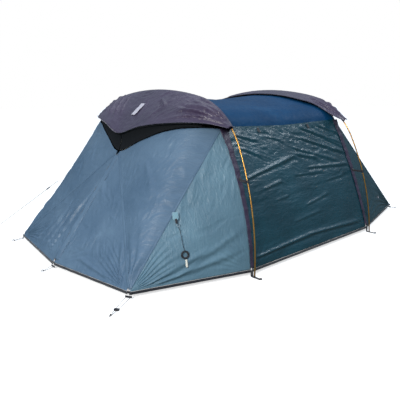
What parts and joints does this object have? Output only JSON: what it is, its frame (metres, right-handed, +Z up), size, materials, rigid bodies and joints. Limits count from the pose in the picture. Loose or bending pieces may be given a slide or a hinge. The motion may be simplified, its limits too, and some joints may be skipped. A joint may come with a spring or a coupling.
{
  "type": "tent on poles",
  "caption": "Low tunnel tent with a front porch, hung inside two outside hoop poles, with a sewn-in hood over each hoop, a zipped porch, an inner tent, cords and pegs.",
  "frame": {"origin": "on the ground under the groundsheet, midway between the two hoops and midway between their feet", "axes": "+Z up, -Y towards the porch door, +X to the right-hand side seen from behind the tent looking at the door"},
  "size_m": [2.3806, 3.672, 1.4335],
  "materials": {
    "fly_cloth": "coated, slight sheen",
    "hood_cloth": "coated, slight sheen",
    "inner_cloth": "matte",
    "floor_cloth": "coated",
    "mesh": "open weave",
    "webbing": "woven",
    "patch": "woven",
    "zip_tape": "woven",
    "zip_metal": "satin",
    "pole_alloy": "anodised gold, satin",
    "ferrule_alloy": "satin",
    "eyelet_metal": "satin",
    "peg_wire": "satin",
    "elastic": "woven",
    "guy_cord": "braided",
    "dark_plastic": "moulded",
    "toggle_plastic": "moulded"
  },
  "bodies": {
    "tent": {"brow_patch": "patch", "clip_straps": "webbing", "cord_front_centre": "guy_cord", "cord_front_left": "guy_cord", "cord_front_right": "guy_cord", "cord_rear_left": "guy_cord", "cord_rear_right": "guy_cord", "corner_tabs": "webbing", "eyelets": "eyelet_metal", "fly_roof": "fly_cloth", "fly_tabs": "webbing", "fly_walls": "fly_cloth", "foot_straps": "webbing", "front_hood": "hood_cloth", "front_lip_rod": "dark_plastic", "front_panels": "fly_cloth", "groundsheet": "floor_cloth", "guy_line": "guy_cord", "hem_binding": "webbing", "inner_front": "inner_cloth", "inner_hangers": "elastic", "inner_roof": "inner_cloth", "inner_walls": "inner_cloth", "inner_zip": "zip_tape", "leg_bands": "hood_cloth", "pegs": "peg_wire", "pole_clips": "dark_plastic", "pole_ferrules": "ferrule_alloy", "pole_sleeves": "hood_cloth", "pole_tips": "ferrule_alloy", "pole_tubes": "pole_alloy", "porch_sides": "fly_cloth", "rear_hood": "hood_cloth", "rear_panel": "fly_cloth", "rear_sides": "fly_cloth", "shock_cords": "elastic", "storm_patches": "webbing", "vent_meshes": "mesh"},
    "door_right": {"door_leaf_right": "fly_cloth", "door_hem_right": "webbing", "door_zip_right": "zip_tape", "storm_flap": "fly_cloth"},
    "door_left": {"door_leaf_left": "fly_cloth", "door_hem_left": "webbing", "door_zip_left": "zip_tape"},
    "door_slider": {"door_zip_slider": "zip_metal"},
    "inner_door": {"inner_door": "inner_cloth", "inner_door_mesh": "mesh"},
    "inner_slider": {"inner_zip_slider": "zip_metal"},
    "guy_runner": {"guy_runner": "dark_plastic"},
    "cord_lock": {"cord_lock": "dark_plastic"},
    "storm_guy_right": {"storm_ring_right": "eyelet_metal", "storm_cord_right": "guy_cord", "storm_hank_right": "guy_cord", "storm_toggle_right": "toggle_plastic"},
    "storm_guy_left": {"storm_ring_left": "eyelet_metal", "storm_cord_left": "guy_cord", "storm_hank_left": "guy_cord", "storm_toggle_left": "toggle_plastic"}
  },
  "joints": [
    {"name": "door_right_fold", "type": "hinge", "parent": "tent", "child": "door_right", "pos_m": [0, -1.135, 0.81], "axis": [-0.6663, 0.4017, 0.6282], "range_deg": [0, 120]},
    {"name": "door_left_fold", "type": "hinge", "parent": "tent", "child": "door_left", "pos_m": [0, -1.135, 0.81], "axis": [-0.6663, -0.4017, -0.6282], "range_deg": [0, 120]},
    {"name": "door_zip", "type": "slide", "parent": "door_right", "child": "door_slider", "axis": [0, -0.6164, -0.7874], "range_m": [0, 0.8]},
    {"name": "inner_door_fold", "type": "hinge", "parent": "tent", "child": "inner_door", "pos_m": [-0.3985, -0.6635, 0.12], "axis": [0, 0, 1], "range_deg": [0, 100]},
    {"name": "inner_zip_slide", "type": "slide", "parent": "tent", "child": "inner_slider", "axis": [0, 0, -1], "range_m": [0, 0.4]},
    {"name": "guy_runner_slide", "type": "slide", "parent": "tent", "child": "guy_runner", "axis": [0.172, 0.8247, 0.5387], "range_m": [0, 0.085]},
    {"name": "cord_lock_slide", "type": "slide", "parent": "tent", "child": "cord_lock", "axis": [-0.4892, 0.8686, 0.0793], "range_m": [0, 0.03]},
    {"name": "storm_guy_right_lift", "type": "hinge", "parent": "tent", "child": "storm_guy_right", "pos_m": [0.81425, -1.22953, 0.41373], "axis": [-0.4524, -0.8918, 0], "range_deg": [0, 70]},
    {"name": "storm_guy_left_lift", "type": "hinge", "parent": "tent", "child": "storm_guy_left", "pos_m": [-0.81425, -1.22953, 0.41373], "axis": [-0.4524, 0.8918, 0], "range_deg": [0, 70]}
  ]
}
